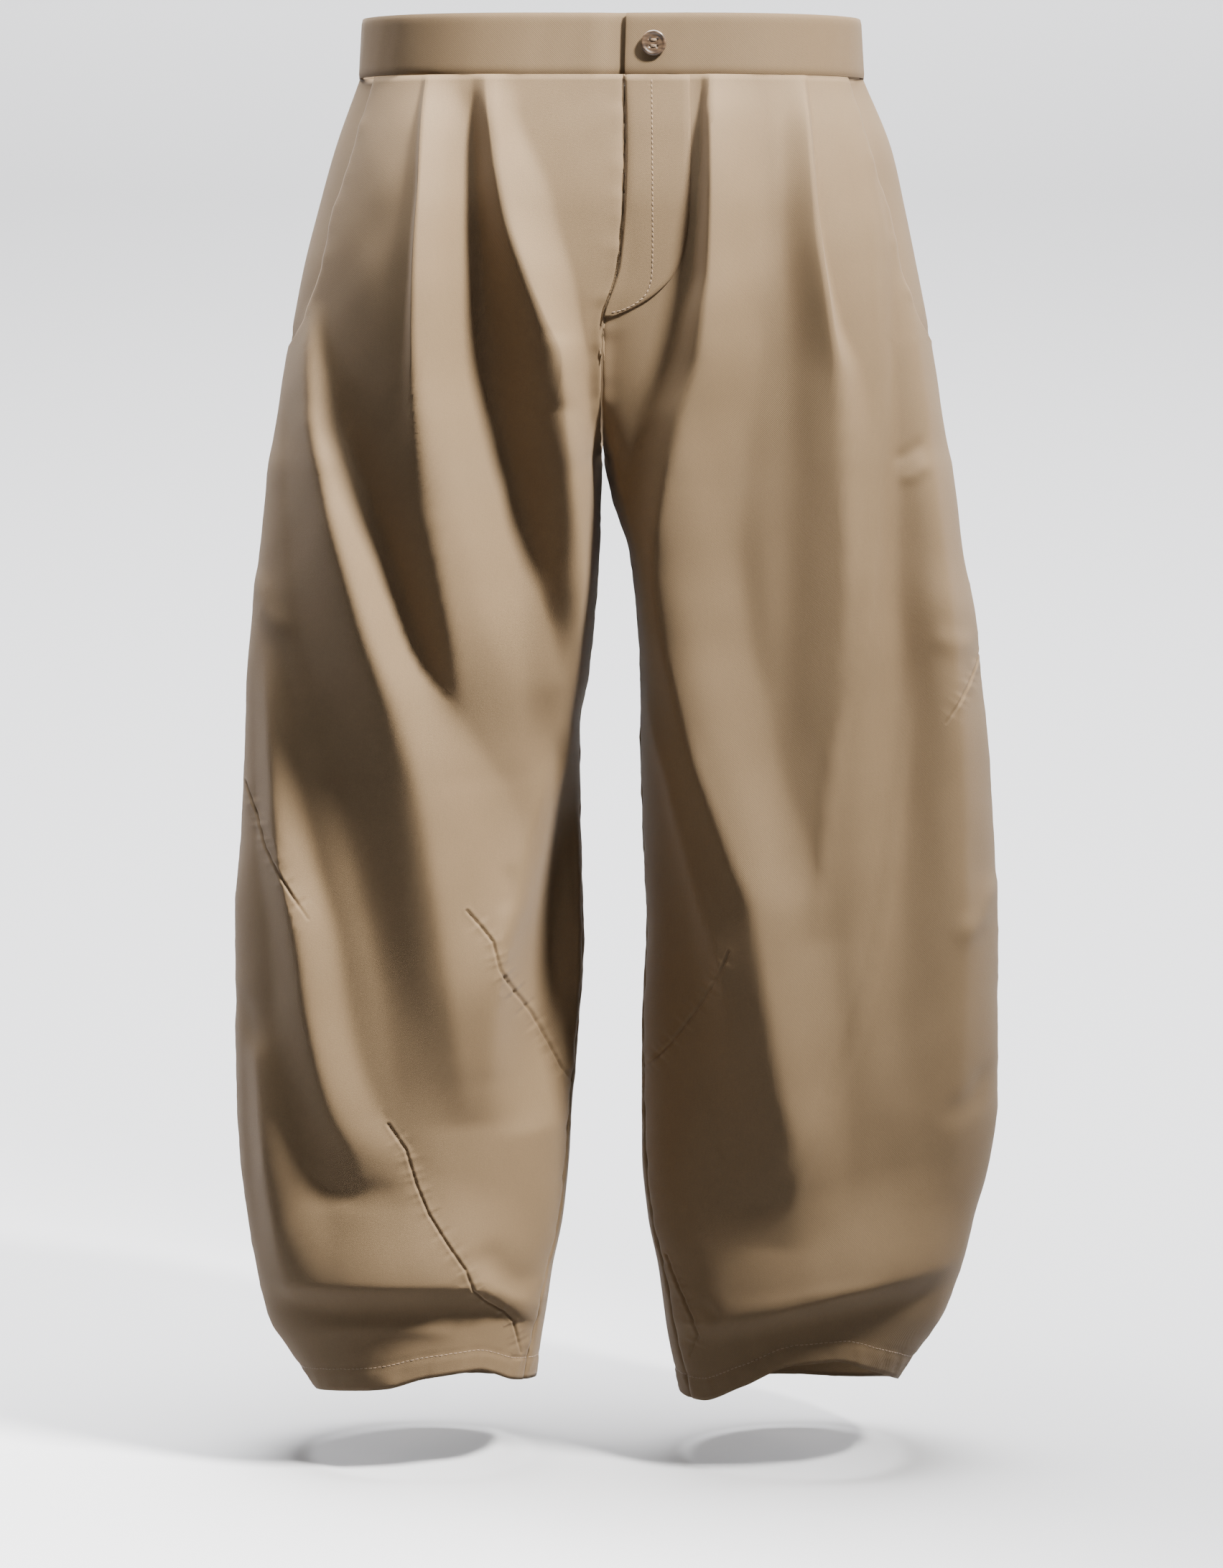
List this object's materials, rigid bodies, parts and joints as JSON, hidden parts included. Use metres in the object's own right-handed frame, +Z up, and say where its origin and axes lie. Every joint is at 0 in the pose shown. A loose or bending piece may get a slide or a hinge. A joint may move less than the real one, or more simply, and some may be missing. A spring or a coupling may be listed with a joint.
{
  "type": "barrel leg trousers",
  "caption": "Worn-form barrel leg trousers: pleated fronts, slanted pockets, lapped fly and waistband, full curved legs drawn in to turned-up hems.",
  "frame": {"origin": "centre of the waistband ring at half its height, where the wearer's waist holds the trousers", "axes": "+Z up towards the waist opening, -Y the way the wearer faces, +X the wearer's left"},
  "size_m": [0.5334, 0.3028, 0.964],
  "materials": {
    "twill": "smooth brushed cotton twill, soft sheen",
    "button_horn": "satin"
  },
  "bodies": {
    "root": {"front_right": "twill", "front_left": "twill", "back_right": "twill", "back_left": "twill", "waistband": "twill", "fly": "twill", "pocket_right": "twill", "pocket_left": "twill", "button": "button_horn"}
  },
  "joints": []
}
